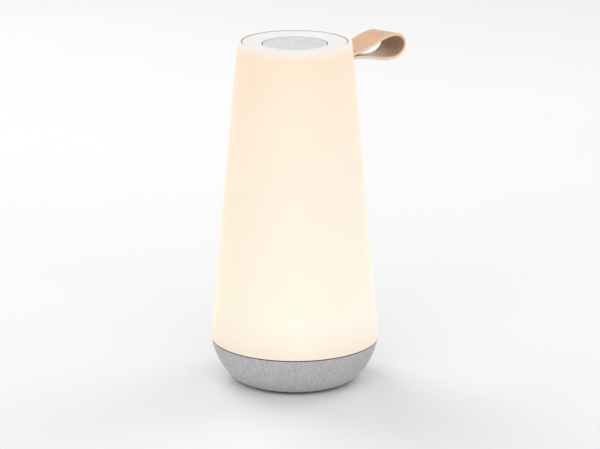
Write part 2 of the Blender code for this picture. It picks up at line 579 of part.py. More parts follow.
board_top = BOARD_BOTTOM + 1.6 * MM
board = box("main_board", (-41 * MM, -38 * MM, BOARD_BOTTOM), (41 * MM, 38 * MM, board_top), LAMINATE)
boolean(board, [many("board_hole_cutter", [prism(2.4 * MM, BOARD_BOTTOM - MM, board_top + MM, 0, 0, sides=16)])])
box("radio_module", (-9 * MM, 22 * MM, BOARD_BOTTOM - 2.6 * MM), (9 * MM, 36 * MM, BOARD_BOTTOM - GAP), STEEL,
    bevel=0.4 * MM)
heatsink = box("amplifier_heatsink", (-10 * MM, -36 * MM, BOARD_BOTTOM - 5 * MM),
               (10 * MM, -20 * MM, BOARD_BOTTOM - GAP), STEEL)
fin_gaps = many("fin_gap_cutter", [
    block((2 * MM, 20 * MM, 6 * MM), Matrix.Translation((x * MM, -28 * MM, BOARD_BOTTOM - 5 * MM)))
    for x in (-6, -2, 2, 6)])
boolean(heatsink, [fin_gaps])

# --- Rear panel: port and two push buttons, square to the bowl's flank at PANEL_HEIGHT
flank = bowl_outline(0, bowl_top, 400)
index = min(range(1, len(flank)), key=lambda i: abs(flank[i][1] - PANEL_HEIGHT))
run_down = Vector(flank[index + 1]) - Vector(flank[index - 1])
tilt = math.atan2(-run_down.x, -run_down.y)
panel_frame = (Matrix.Translation((0, flank[index][0], PANEL_HEIGHT)) @ Matrix.Rotation(-tilt, 4, "X")
               @ Matrix.Rotation(-math.pi / 2, 4, "X"))        # local Z points out, local X along +X
panel_wide, panel_high = PANEL_SIZE


def rounded_block(name, wide, high, near, far, radius):
    """A block in the rear panel's frame, its corners rounded about the panel's own normal."""
    obj = box(name, (-wide / 2, -high / 2, near), (wide / 2, high / 2, far), BLACK)
    bm = bmesh.new()
    bm.from_mesh(obj.data)
    upright_edges = [e for e in bm.edges if abs(e.verts[0].co.z - e.verts[1].co.z) > radius]
    bmesh.ops.bevel(bm, geom=upright_edges, offset=radius, segments=4, affect="EDGES", profile=0.5)
    bm.to_mesh(obj.data)
    bm.free()
    return move(obj, panel_frame)


panel = turned("port_panel", bowl_shell(0.2 * MM, shell_inset, bowl_top), BLACK, steps=48)
panel_form = rounded_block("panel_form", panel_wide, panel_high, -14 * MM, 14 * MM, 4 * MM)
panel_hole = rounded_block("panel_hole_cutter", panel_wide + 2 * GAP, panel_high + 2 * GAP, -14 * MM, 14 * MM,
                           4.3 * MM)
port_hole = rounded_block("port_hole_cutter", 9.6 * MM, 3.8 * MM, -14 * MM, 14 * MM, 1.8 * MM)
boolean(panel, [panel_form], "INTERSECT")
button_holes = many("button_hole_cutter", [
    prism(BUTTON_RADIUS + GAP, -14 * MM, 14 * MM, side * BUTTON_OFFSET, 0, sides=20) for side in (-1, 1)])
move(button_holes, panel_frame)
boolean(panel, [port_hole, button_holes])
boolean(bowl, [panel_hole])
boolean(cloth, [panel_hole])

inlet = rounded_block("charge_inlet", 9.0 * MM, 3.2 * MM, -8.4 * MM, -0.6 * MM, 1.5 * MM)
inlet.data.materials[0] = STEEL
mouth = rounded_block("inlet_mouth_cutter", 8.4 * MM, 2.6 * MM, -7.4 * MM, 4 * MM, 1.25 * MM)
boolean(inlet, [mouth])
tongue = rounded_block("inlet_tongue_tool", 6.6 * MM, 0.8 * MM, -7.9 * MM, -1.6 * MM, 0.3 * MM)
boolean(inlet, [tongue], "UNION")

button_board = box("button_board", (-19 * MM, -5.5 * MM, -10.2 * MM), (19 * MM, 4.6 * MM, -9.0 * MM), LAMINATE)
move(button_board, panel_frame)
out = (panel_frame.to_3x3() @ Vector((0, 0, 1))).normalized()
button_sink = 1.35 * MM                                        # the flank curves away towards the buttons
for side, word in ((-1, "pairing"), (1, "power")):
    switch = box(f"{word}_switch", (side * BUTTON_OFFSET - 2.6 * MM, -2.6 * MM, -8.7 * MM),
                 (side * BUTTON_OFFSET + 2.6 * MM, 2.6 * MM, -6.4 * MM), BLACK, bevel=0.3 * MM)
    move(switch, panel_frame)
    button = turned(f"{word}_button", [
        (0, 0), (BUTTON_RADIUS - 0.5 * MM, 0), (BUTTON_RADIUS, -0.5 * MM), (BUTTON_RADIUS, -3.6 * MM),
        (1.2 * MM, -3.6 * MM), (1.2 * MM, -4.3 * MM), (0, -4.3 * MM)], BLACK, steps=20)
    pivot = bpy.data.objects.new(f"{word}_button_slide", None)
    parts.objects.link(pivot)
    pivot.matrix_world = panel_frame @ Matrix.Translation((side * BUTTON_OFFSET, 0, -button_sink))
    button.parent = pivot
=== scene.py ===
"""Looks of the lantern speaker: a lit opal shade, a knitted bowl, a white dial and a leather loop."""
import math

import bmesh
import bpy
from mathutils import Matrix, Vector


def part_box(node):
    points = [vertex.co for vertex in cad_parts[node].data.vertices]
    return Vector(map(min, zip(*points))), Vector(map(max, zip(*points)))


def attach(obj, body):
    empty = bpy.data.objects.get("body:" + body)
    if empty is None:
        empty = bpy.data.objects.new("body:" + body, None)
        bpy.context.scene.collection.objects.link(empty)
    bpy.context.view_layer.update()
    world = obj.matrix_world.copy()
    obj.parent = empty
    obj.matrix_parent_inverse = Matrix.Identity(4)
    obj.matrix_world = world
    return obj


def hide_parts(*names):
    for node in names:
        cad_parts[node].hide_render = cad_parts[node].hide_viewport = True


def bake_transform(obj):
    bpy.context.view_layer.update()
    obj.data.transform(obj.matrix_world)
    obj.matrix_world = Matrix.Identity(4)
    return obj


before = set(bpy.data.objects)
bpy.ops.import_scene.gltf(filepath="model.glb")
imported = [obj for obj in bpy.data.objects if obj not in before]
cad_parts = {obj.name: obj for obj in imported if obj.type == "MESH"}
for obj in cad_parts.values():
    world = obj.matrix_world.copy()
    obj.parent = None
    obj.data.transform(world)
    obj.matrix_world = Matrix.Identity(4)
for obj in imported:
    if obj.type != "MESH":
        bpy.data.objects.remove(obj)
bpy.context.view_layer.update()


# Camera. A long lens, a little over two metres away on the side across from the loop, that looks
# slightly down. It is turned so that the loop stands out to the right.
camera_azimuth = math.radians(40)
camera_pitch = math.radians(15.658)
camera_distance = 2.1064
camera_height = 0.7138
focal_length = 169.84
sideways_shift = 0.0087
camera_data = bpy.data.cameras.new("camera")
camera_data.lens = focal_length
camera_data.sensor_width = 36
camera_data.shift_x = sideways_shift
camera = bpy.data.objects.new("camera", camera_data)
camera.location = (camera_distance * math.sin(camera_azimuth), -camera_distance * math.cos(camera_azimuth),
                   camera_height)
camera.rotation_euler = (math.pi / 2 - camera_pitch, 0, camera_azimuth)
bpy.context.scene.collection.objects.link(camera)
bpy.context.scene.camera = camera
bpy.context.scene.view_settings.view_transform = "Standard"


# Studio. A white dome of even light, a wide soft strip in front and two large soft lamps high behind, so
# that a broad, soft shadow lies on both sides of the base.
dome_strength = 0.62
lamp_aim = Vector((0, 0, 0.12))
world = bpy.data.worlds.new("white_dome")
world.use_nodes = True
dome = world.node_tree.nodes["Background"]
dome.inputs["Color"].default_value = (1, 1, 1, 1)
dome.inputs["Strength"].default_value = dome_strength
bpy.context.scene.world = world


def soft_lamp(name, azimuth, distance, height, size, power):
    """A rectangular lamp that faces the speaker from an azimuth in degrees, 0 being the camera's side."""
    angle = camera_azimuth + math.radians(azimuth)
    place = (distance * math.sin(angle), -distance * math.cos(angle), height)
    lamp = bpy.data.lights.new(name, "AREA")
    lamp.shape = "RECTANGLE"
    lamp.size, lamp.size_y = size
    lamp.energy = power
    holder = bpy.data.objects.new(name, lamp)
    holder.location = place
    holder.rotation_euler = (lamp_aim - Vector(place)).to_track_quat("-Z", "Y").to_euler()
    bpy.context.scene.collection.objects.link(holder)


soft_lamp("front_strip", 0, 1.1, 1.0, (1.8, 0.5), 5)
soft_lamp("rear_left_lamp", -145, 1.5, 1.7, (1.2, 1.2), 14)
soft_lamp("rear_right_lamp", 125, 1.7, 1.7, (1.2, 1.2), 8)


# Floor. A pale matt sweep, larger than the view. It lies a hair lower than the foot stands, so that the
# two faces don't fight.
MM = 0.001
floor_half = 6
floor_drop = 0.1 * MM


def finish_of(name):
    """A new finish: the material, its tree and its main shader."""
    made = bpy.data.materials.new(name)
    made.use_nodes = True
    return made, made.node_tree, made.node_tree.nodes["Principled BSDF"]


def wire(tree, socket, value):
    """Set a socket to a number or colour, or link another node's output to it."""
    if isinstance(value, bpy.types.NodeSocket):
        tree.links.new(value, socket)
    else:
        socket.default_value = value


def node(tree, kind, inputs=(), out=0, **settings):
    """Add a node, fill its inputs by name or number, and return one of its outputs."""
    made = tree.nodes.new(kind)
    for key, value in settings.items():
        setattr(made, key, value)
    for key, value in dict(inputs).items():
        wire(tree, made.inputs[key], value)
    return made.outputs[out]


def ramp(tree, factor, stops):
    """A colour ramp from (position, colour) stops."""
    made = tree.nodes.new("ShaderNodeValToRGB")
    wire(tree, made.inputs[0], factor)
    points = made.color_ramp.elements
    while len(points) < len(stops):
        points.new(0.5)
    for point, (position, colour) in zip(points, stops):
        point.position = position
        point.color = colour
    return made.outputs[0]


def tone(red, green, blue):
    """A display colour of 0 to 255, as the linear colour that a shader takes."""
    linear = [v / 12.92 if v <= 0.04045 else ((v + 0.055) / 1.055) ** 2.4
              for v in (red / 255, green / 255, blue / 255)]
    return (*linear, 1)


def grey(level):
    """A neutral display tone."""
    return tone(level, level, level)


floor_paint, tree, shader = finish_of("pale_floor")
speckle = node(tree, "ShaderNodeTexNoise", {"Vector": node(tree, "ShaderNodeTexCoord", out=3), "Scale": 4.0})
wire(tree, shader.inputs["Base Color"], ramp(tree, speckle, [(0.3, grey(247)), (0.7, grey(249))]))
shader.inputs["Roughness"].default_value = 0.85
shader.inputs["Specular IOR Level"].default_value = 0.1
bm = bmesh.new()
bmesh.ops.create_grid(bm, x_segments=1, y_segments=1, size=floor_half)
floor_mesh = bpy.data.meshes.new("floor")
bm.to_mesh(floor_mesh)
bm.free()
floor_mesh.transform(Matrix.Translation((0, 0, -floor_drop)))
floor_mesh.materials.append(floor_paint)
floor = bpy.data.objects.new("floor", floor_mesh)
bpy.context.scene.collection.objects.link(floor)


# Foot. A soft black rubber disc, stuck to the bottom cover. It is moulded with shallow rings underneath,
# which stop it from creeping on a smooth table.
def add_piece(name, mesh, body, replaced):
    """Link a finished mesh as a piece that rides on a body."""
    piece = bpy.data.objects.new(name, mesh)
    bpy.context.scene.collection.objects.link(piece)
    if body:
        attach(piece, body)
    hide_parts(*replaced)
    return piece


def revolve(name, outline, steps, finish, relief=None, sharp=40):
    """Turn an outline about Z. It runs down the outer side and back up; relief may move its points."""
    bm = bmesh.new()
    wrap = bm.loops.layers.uv.new("around_and_down")
    lengths = [0.0]
    for (r0, z0), (r1, z1) in zip(outline, outline[1:] + outline[:1]):
        lengths.append(lengths[-1] + math.hypot(r1 - r0, z1 - z0))
    rings = []
    for i, (radius, height) in enumerate(outline):
        if radius < 1e-6:
            rings.append([bm.verts.new((0, 0, height))] * steps)
            continue
        ring = []
        for j in range(steps):
            angle = 2 * math.pi * j / steps
            x, z = (radius, height)
            if relief:
                x, z = relief(i, angle, radius, height)
            ring.append(bm.verts.new((x * math.cos(angle), x * math.sin(angle), z)))
        rings.append(ring)
    closed = min(radius for radius, height in outline) > 1e-6
    spans = len(outline) if closed else len(outline) - 1
    for i in range(spans):
        low = (i + 1) % len(outline)
        for j in range(steps):
            k = (j + 1) % steps
            corners = [(rings[i][j], j, i), (rings[low][j], j, i + 1), (rings[low][k], j + 1, i + 1),
                       (rings[i][k], j + 1, i)]
            distinct = []
            for corner in corners:
                if corner[0] not in [c[0] for c in distinct]:
                    distinct.append(corner)
            if len(distinct) < 3:
                continue
            face = bm.faces.new([c[0] for c in distinct])
            for loop, (vert, across, down) in zip(face.loops, distinct):
                loop[wrap].uv = (across / steps, lengths[down])
    mesh = bpy.data.meshes.new(name)
    bm.to_mesh(mesh)
    bm.free()
    mesh.materials.append(finish)
    mesh.shade_smooth()
    mesh.set_sharp_from_angle(angle=math.radians(sharp))
    return mesh


def fine_noise(tree, scale, detail=3.0, roughness=0.5, stretch=None):
    """Noise on the piece's own coordinates; scale is in grains per metre."""
    place = node(tree, "ShaderNodeTexCoord", out=3)
    if stretch:
        place = node(tree, "ShaderNodeMapping", {"Vector": place, "Scale": stretch})
    return node(tree, "ShaderNodeTexNoise", {"Vector": place, "Scale": scale, "Detail": detail,
                                              "Roughness": roughness})


def maths(tree, operation, a, b=0.0, c=0.0):
    """One arithmetic step."""
    return node(tree, "ShaderNodeMath", {0: a, 1: b, 2: c}, operation=operation)


def bump(tree, shader, height, distance, strength=1.0):
    """Raise a surface by a height pattern; distance is the relief in metres."""
    wire(tree, shader.inputs["Normal"], node(tree, "ShaderNodeBump", {
        "Height": height, "Distance": distance, "Strength": strength}))


def moulded(name, light, dark, gloss, grain, relief):
    """A moulded finish with a fine spark texture, slight cloudiness and uneven gloss."""
    made, tree, shader = finish_of(name)
    cloud = fine_noise(tree, 60, 4)
    texture = fine_noise(tree, grain, 2)
    both = maths(tree, "MULTIPLY_ADD", texture, 0.5, maths(tree, "MULTIPLY", cloud, 0.5))
    wire(tree, shader.inputs["Base Color"], ramp(tree, both, [(0.3, dark), (0.7, light)]))
    wire(tree, shader.inputs["Roughness"], node(tree, "ShaderNodeMapRange", {
        "Value": cloud, "From Min": 0.3, "From Max": 0.7, "To Min": gloss[0], "To Max": gloss[1]}))
    bump(tree, shader, texture, relief)
    return made


foot_rubber = moulded("foot_rubber", grey(58), grey(40), (0.7, 0.9), 1800, 0.05 * MM)
foot_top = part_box("foot_pad")[1].z
foot_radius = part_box("foot_pad")[1].x
foot_border = 3 * MM
groove_pitch = 4 * MM
groove_depth = 0.25 * MM
groove_width = 1.3 * MM
groove_slope = 0.3 * MM
foot_outline = [(0, foot_top), (foot_radius - 0.6 * MM, foot_top), (foot_radius - 0.15 * MM, 1.5 * MM),
                (foot_radius, 1.1 * MM), (foot_radius - 0.5 * MM, 0.2 * MM), (foot_radius - 0.9 * MM, 0)]
groove_radius = foot_radius - foot_border
while groove_radius > groove_pitch:
    foot_outline += [(groove_radius, 0), (groove_radius - groove_slope, groove_depth),
                     (groove_radius - groove_width + groove_slope, groove_depth),
                     (groove_radius - groove_width, 0)]
    groove_radius -= groove_pitch
foot_outline.append((0, 0))
add_piece("foot", revolve("foot", foot_outline, 128, foot_rubber), "housing", ["foot_pad"])


# Bottom cover, bowl shell, chassis, driver frames, cell cradles, key switches, dial bearing and the upper
# driver's lead. Plain black or grey mouldings, screwed and clipped together out of sight.
def dress(names, finish):
    """Give carried-over pieces a finish."""
    for name in names:
        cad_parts[name].data.materials.clear()
        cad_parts[name].data.materials.append(finish)


black_moulding = moulded("black_moulding", grey(46), grey(34), (0.45, 0.65), 2600, 0.02 * MM)
grey_moulding = moulded("grey_moulding", grey(176), grey(160), (0.45, 0.6), 2600, 0.02 * MM)
dress(["bottom_cover", "base_chassis", "driver_basket", "woofer_basket", "battery_cradle_left",
       "battery_cradle_right", "power_switch", "pairing_switch", "driver_lead"], black_moulding)
dress(["base_bowl", "ring_bearing"], grey_moulding)


# Screws. Zinc-plated steel, pan-headed, with a cross recess and a rolled thread. They hold the bottom
# cover, the column, the encoder board and the leather's clamp; one tree makes all four groups.
def steel_finish(name, light, dark, stretch):
    """Bright plated metal with fine drawn lines and dulled patches."""
    made, tree, shader = finish_of(name)
    lines = fine_noise(tree, 900, 2, 0.6, stretch)
    patches = fine_noise(tree, 90, 4)
    wire(tree, shader.inputs["Base Color"], ramp(tree, patches, [(0.35, dark), (0.65, light)]))
    wire(tree, shader.inputs["Roughness"], node(tree, "ShaderNodeMapRange", {
        "Value": lines, "From Min": 0.3, "From Max": 0.7, "To Min": 0.22, "To Max": 0.42}))
    shader.inputs["Metallic"].default_value = 1.0
    bump(tree, shader, lines, 0.01 * MM)
    return made


zinc = steel_finish("zinc_plate", grey(205), grey(168), (1, 1, 0.1))


def graph(name, sizes):
    """An empty geometry tree with named size inputs; returns the tree and its input node."""
    made = bpy.data.node_groups.new(name, "GeometryNodeTree")
    made.interface.new_socket("Geometry", in_out="INPUT", socket_type="NodeSocketGeometry")
    made.interface.new_socket("Geometry", in_out="OUTPUT", socket_type="NodeSocketGeometry")
    for size in sizes:
        made.interface.new_socket(size, in_out="INPUT", socket_type="NodeSocketFloat")
    return made, made.nodes.new("NodeGroupInput")


def close_graph(tree, geometry, finish):
    """End a tree: real geometry, one finish, output."""
    real = node(tree, "GeometryNodeRealizeInstances", {"Geometry": geometry})
    painted = node(tree, "GeometryNodeSetMaterial", {"Geometry": real, "Material": finish})
    wire(tree, tree.nodes.new("NodeGroupOutput").inputs[0], painted)


def grow(name, tree, values, points=(), seed=None, sharp=35):
    """Run a tree on a seed mesh, or on loose points, and return the plain mesh that it makes."""
    if seed is None:
        seed = bpy.data.meshes.new(name + "_seed")
        seed.from_pydata([tuple(p) for p in points], [], [])
    holder = bpy.data.objects.new(name + "_seed", seed)
    bpy.context.scene.collection.objects.link(holder)
    modifier = holder.modifiers.new("grow", "NODES")
    modifier.node_group = tree
    for item in tree.interface.items_tree:
        if item.in_out == "INPUT" and item.name in values:
            modifier[item.identifier] = values[item.name]
    depsgraph = bpy.context.evaluated_depsgraph_get()
    mesh = bpy.data.meshes.new_from_object(holder.evaluated_get(depsgraph), depsgraph=depsgraph)
    holder.modifiers.remove(modifier)
    bpy.data.objects.remove(holder)
    mesh.name = name
    mesh.shade_smooth()
    mesh.set_sharp_from_angle(angle=math.radians(sharp))
    return mesh


screw_tree, sizes = graph("screw", ["Head Radius", "Head Height", "Shank Radius", "Length", "Upside Down"])
head = node(screw_tree, "GeometryNodeMeshCylinder", {
    "Vertices": 28, "Radius": sizes.outputs["Head Radius"], "Depth": sizes.outputs["Head Height"]})
half_head = maths(screw_tree, "MULTIPLY", sizes.outputs["Head Height"], 0.5)
head = node(screw_tree, "GeometryNodeTransform", {
    "Geometry": head, "Translation": node(screw_tree, "ShaderNodeCombineXYZ", {"Z": half_head})})
recess_length = maths(screw_tree, "MULTIPLY", sizes.outputs["Head Radius"], 1.2)
recess_width = maths(screw_tree, "MULTIPLY", sizes.outputs["Head Radius"], 0.28)
recess_height = maths(screw_tree, "MULTIPLY", sizes.outputs["Head Height"], 1.1)
recess_arm = node(screw_tree, "GeometryNodeMeshCube", {"Size": node(screw_tree, "ShaderNodeCombineXYZ", {
    "X": recess_length, "Y": recess_width, "Z": recess_height})})
recess_lift = node(screw_tree, "ShaderNodeCombineXYZ", {"Z": sizes.outputs["Head Height"]})
cut = screw_tree.nodes.new("GeometryNodeMeshBoolean")
cut.operation = "DIFFERENCE"
wire(screw_tree, cut.inputs[0], head)
for turn in (0, math.pi / 2):
    wire(screw_tree, cut.inputs[1], node(screw_tree, "GeometryNodeTransform", {
        "Geometry": recess_arm, "Translation": recess_lift, "Rotation": (0, 0, turn)}))
shank = node(screw_tree, "GeometryNodeMeshCone", {
    "Vertices": 20, "Radius Top": sizes.outputs["Shank Radius"], "Depth": sizes.outputs["Length"],
    "Radius Bottom": maths(screw_tree, "MULTIPLY", sizes.outputs["Shank Radius"], 0.55)})
minus_length = maths(screw_tree, "MULTIPLY", sizes.outputs["Length"], -1.0)
shank = node(screw_tree, "GeometryNodeTransform", {
    "Geometry": shank, "Translation": node(screw_tree, "ShaderNodeCombineXYZ", {"Z": minus_length})})
thread = node(screw_tree, "GeometryNodeCurveSpiral", {
    "Resolution": 14, "Rotations": 6.0, "Start Radius": sizes.outputs["Shank Radius"],
    "End Radius": maths(screw_tree, "MULTIPLY", sizes.outputs["Shank Radius"], 0.75),
    "Height": maths(screw_tree, "MULTIPLY", sizes.outputs["Length"], -0.85)})
thread_section = node(screw_tree, "GeometryNodeCurvePrimitiveCircle", {"Resolution": 4, "Radius": 0.12 * MM})
thread = node(screw_tree, "GeometryNodeCurveToMesh", {
    "Curve": thread, "Profile Curve": thread_section, "Fill Caps": True})
join = screw_tree.nodes.new("GeometryNodeJoinGeometry")
for solid in (cut.outputs[0], shank, thread):
    wire(screw_tree, join.inputs[0], solid)
half_turn = maths(screw_tree, "MULTIPLY", sizes.outputs["Upside Down"], math.pi)
placed = node(screw_tree, "GeometryNodeInstanceOnPoints", {
    "Points": sizes.outputs["Geometry"], "Instance": join.outputs[0],
    "Rotation": node(screw_tree, "ShaderNodeCombineXYZ", {"X": half_turn})})
close_graph(screw_tree, placed, zinc)


def screws(name, nodes, head_radius, head_height, shank_radius, upside_down=False):
    """One detailed mesh for a group of screws, at the seats of the plain ones that it replaces."""
    boxes = [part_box(n) for n in nodes]
    length = boxes[0][1].z - boxes[0][0].z - head_height
    seats = [((low.x + high.x) / 2, (low.y + high.y) / 2,
              low.z + head_height if upside_down else high.z - head_height) for low, high in boxes]
    mesh = grow(name, screw_tree, {"Head Radius": head_radius, "Head Height": head_height,
                                   "Shank Radius": shank_radius, "Length": length,
                                   "Upside Down": float(upside_down)}, seats)
    add_piece(name, mesh, "housing", nodes)


screws("cover_screws", [f"base_screw_{n}" for n in (1, 2, 3, 4)], 1.8 * MM, 0.9 * MM, 1.0 * MM, True)
screws("column_screws", [f"column_screw_{n}" for n in (1, 2, 3)], 2.0 * MM, 1.2 * MM, 1.1 * MM)
screws("board_screws", [f"encoder_screw_{n}" for n in (1, 2, 3)], 1.7 * MM, 0.9 * MM, 0.8 * MM)
screws("clamp_screws", ["strap_screw_left", "strap_screw_right"], 2.0 * MM, 1.2 * MM, 1.1 * MM)


# Magnets, heat sink, radio shield, clamp plate and inlet shell. Plated, turned or folded metal, glued,
# screwed or soldered in place.
turned_steel = steel_finish("turned_steel", grey(190), grey(150), (0.2, 0.2, 3))
dress(["driver_magnet", "woofer_magnet", "strap_clamp_plate", "radio_module", "amplifier_heatsink",
       "charge_inlet"], turned_steel)


# Driver cones and surrounds. Pressed black paper cones with coarse fibres, each glued to a roll of soft
# rubber that holds it in its basket.
paper = moulded("pressed_paper", grey(66), grey(44), (0.6, 0.85), 1400, 0.06 * MM)
roll_rubber = moulded("roll_rubber", grey(52), grey(42), (0.5, 0.65), 900, 0.01 * MM)
dress(["driver_cone", "woofer_cone"], paper)
dress(["driver_surround", "woofer_surround"], roll_rubber)


# Circuit boards. Green laminate with pale tracks under the mask, screwed down or pushed into slots. The
# lamp ring's board is white, so that it throws back the light.
def laminate(name, mask, track):
    """Solder mask over a grid of tracks."""
    made, tree, shader = finish_of(name)
    place = node(tree, "ShaderNodeTexCoord", out=3)
    tracks = node(tree, "ShaderNodeTexBrick", {"Vector": place, "Scale": 260.0, "Mortar Size": 0.06,
                                                "Brick Width": 1.6, "Row Height": 0.4}, out=1)
    copper = fine_noise(tree, 220, 1)
    shown = maths(tree, "MULTIPLY", tracks, maths(tree, "GREATER_THAN", copper, 0.5))
    wire(tree, shader.inputs["Base Color"], ramp(tree, shown, [(0.0, mask), (1.0, track)]))
    shader.inputs["Roughness"].default_value = 0.3
    bump(tree, shader, shown, 0.03 * MM)
    return made


dress(["main_board", "button_board", "ring_encoder_board"],
      laminate("green_laminate", tone(18, 84, 52), tone(60, 128, 84)))
dress(["led_board"], laminate("white_laminate", tone(240, 240, 236), tone(206, 206, 200)))


# Cells. Two steel cans in a blue heat-shrink wrap, which lie in their cradles on the chassis beside the
# bass driver.
cell_wrap = moulded("cell_wrap", tone(60, 112, 176), tone(48, 96, 158), (0.25, 0.4), 700, 0.02 * MM)
dress(["battery_cell_left", "battery_cell_right"], cell_wrap)


# Knit cover. A light grey melange jersey, its wales running down the bowl; it is stretched over the
# shell, turned in at the seam and hemmed round the foot.
seam_height = 33.4 * MM
bowl_radius = 64.9 * MM
bowl_flat = 41.9 * MM
bowl_power = 2 / 1.3
wales = 240
course_pitch = 1.25 * MM
rib_depth = 0.18 * MM
stitch_relief = 0.22 * MM
cloth_thickness = 0.8 * MM
bowl_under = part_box("base_fabric")[0].z
cover_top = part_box("base_fabric")[1].z

knit, tree, shader = finish_of("melange_knit")
uv = node(tree, "ShaderNodeUVMap", uv_map="around_and_down")
split = tree.nodes.new("ShaderNodeSeparateXYZ")
wire(tree, split.inputs[0], uv)
wale = maths(tree, "MULTIPLY", split.outputs[0], wales)
half = maths(tree, "ABSOLUTE", maths(tree, "SUBTRACT", maths(tree, "FRACT", wale), 0.5))
leg = maths(tree, "MULTIPLY", half, 2.0)
course = maths(tree, "MULTIPLY_ADD", split.outputs[1], 1 / course_pitch, maths(tree, "MULTIPLY", leg, 0.75))
leg_round = maths(tree, "SINE", maths(tree, "MULTIPLY", leg, math.pi))
course_round = maths(tree, "ABSOLUTE", maths(tree, "SINE", maths(tree, "MULTIPLY", course, math.pi)))
stitch = maths(tree, "MULTIPLY", maths(tree, "POWER", leg_round, 0.6),
               maths(tree, "POWER", course_round, 0.5))
stitch_cell = node(tree, "ShaderNodeCombineXYZ", {
    "X": maths(tree, "FLOOR", maths(tree, "MULTIPLY", wale, 2.0)), "Y": maths(tree, "FLOOR", course)})
yarn_tone = node(tree, "ShaderNodeTexWhiteNoise", {"Vector": stitch_cell}, noise_dimensions="2D")
drift = fine_noise(tree, 420, 2, 0.5, (1, 1, 0.6))
fibre = fine_noise(tree, 5200, 2)
melange = maths(tree, "MULTIPLY_ADD", yarn_tone, 0.24, maths(tree, "MULTIPLY", drift, 0.2))
melange = maths(tree, "MULTIPLY_ADD", fibre, 0.2, melange)
yarn = ramp(tree, melange, [(0.07, grey(193)), (0.32, grey(226)), (0.57, grey(249))])
# Painted shade: the yarn colour is darkened in the hollows between stitches and in the furrows between
# wales.
furrow_shade = maths(tree, "MULTIPLY_ADD", maths(tree, "POWER", leg, 3.0), -0.28, 1.03)
stitch_shade = maths(tree, "MULTIPLY", maths(tree, "MULTIPLY_ADD", stitch, 0.5, 0.53), furrow_shade)
stitch_shade_tone = node(tree, "ShaderNodeCombineColor", {0: stitch_shade, 1: stitch_shade, 2: stitch_shade})
wire(tree, shader.inputs["Base Color"], node(tree, "ShaderNodeMix", {0: 1.0, 6: yarn, 7: stitch_shade_tone}, out=2,
                                             data_type="RGBA", blend_type="MULTIPLY"))
shader.inputs["Roughness"].default_value = 0.92
shader.inputs["Specular IOR Level"].default_value = 0.15
shader.inputs["Sheen Weight"].default_value = 0.12
shader.inputs["Sheen Roughness"].default_value = 0.5
bump(tree, shader, maths(tree, "MULTIPLY_ADD", fibre, 0.25, stitch), stitch_relief, 0.9)


def flank(inset, top, count):
    """Points down the bowl from height top to its flat underside, set in by inset."""
    spread = bowl_radius - bowl_flat
    depth = seam_height - bowl_under
    first = math.asin(((seam_height - top) / depth) ** (1 / bowl_power))
    points = []
    for i in range(count):
        t = first + (math.pi / 2 - first) * i / (count - 1)
        slope = Vector((spread * math.sin(t),
                        depth * bowl_power * math.sin(t) ** (bowl_power - 1) * math.cos(t)))
        slope.normalize()
        points.append((bowl_flat + spread * math.cos(t) - inset * slope.y,
                       seam_height - depth * math.sin(t) ** bowl_power + inset * slope.x))
    return points


outside = flank(0.1 * MM, cover_top - 0.35 * MM, 40)
inside = flank(cloth_thickness, cover_top - 0.35 * MM, 14)[::-1]
turn_over = [(inside[-1][0] + 0.15 * MM, cover_top - 0.05 * MM), (outside[0][0] - 0.2 * MM, cover_top)]
hem_inner = foot_radius + 0.6 * MM
hem = [(hem_inner + 0.3 * MM, bowl_under + 0.05 * MM), (hem_inner, bowl_under + 0.4 * MM),
       (hem_inner + 0.2 * MM, bowl_under + cloth_thickness)]

outer_side = 4 * MM
rib_tree, sizes = graph("wale_ribs", ["Wales", "Rib Depth"])
spot = node(rib_tree, "GeometryNodeInputPosition")
around = rib_tree.nodes.new("ShaderNodeSeparateXYZ")
wire(rib_tree, around.inputs[0], spot)
angle = maths(rib_tree, "ARCTAN2", around.outputs[1], around.outputs[0])
swing = maths(rib_tree, "MULTIPLY", maths(rib_tree, "MULTIPLY", angle, 0.5), sizes.outputs["Wales"])
crest = maths(rib_tree, "POWER", maths(rib_tree, "ABSOLUTE", maths(rib_tree, "SINE", swing)), 0.7)
facing = node(rib_tree, "GeometryNodeInputNormal")
level_spot = node(rib_tree, "ShaderNodeVectorMath", {0: spot, 1: (1, 1, 0)}, operation="MULTIPLY")
outwards = node(rib_tree, "ShaderNodeVectorMath", {0: level_spot, 1: facing}, out=1, operation="DOT_PRODUCT")
lift = node(rib_tree, "ShaderNodeVectorMath", {
    0: facing, "Scale": maths(rib_tree, "MULTIPLY", maths(rib_tree, "SUBTRACT", crest, 0.5),
                              sizes.outputs["Rib Depth"])}, operation="SCALE")
ribbed = node(rib_tree, "GeometryNodeSetPosition", {
    "Geometry": sizes.outputs["Geometry"], "Offset": lift,
    "Selection": node(rib_tree, "FunctionNodeCompare", {0: outwards, 1: outer_side},
                      operation="GREATER_THAN")})
close_graph(rib_tree, ribbed, knit)
plain_cover = revolve("plain_cover", outside + hem + inside + turn_over, wales * 4, knit)
cloth_mesh = grow("knit_cover", rib_tree, {"Wales": float(wales), "Rib Depth": rib_depth}, seed=plain_cover,
                  sharp=180)


# Rear panel. A dark moulding with the inlet and two keys, clipped into the bowl square to its flank. The
# knit is cut out round it.
def cut_away(mesh, tool):
    """Cut one closed mesh out of another and return the result."""
    target = bpy.data.objects.new("cut_target", mesh)
    guide = bpy.data.objects.new("cut_guide", tool)
    bpy.context.scene.collection.objects.link(target)
    bpy.context.scene.collection.objects.link(guide)
    change = target.modifiers.new("cut", "BOOLEAN")
    change.operation = "DIFFERENCE"
    change.object = guide
    depsgraph = bpy.context.evaluated_depsgraph_get()
    result = bpy.data.meshes.new_from_object(target.evaluated_get(depsgraph), depsgraph=depsgraph)
    result.name = mesh.name
    bpy.data.objects.remove(guide)
    bpy.data.objects.remove(target)
    return result


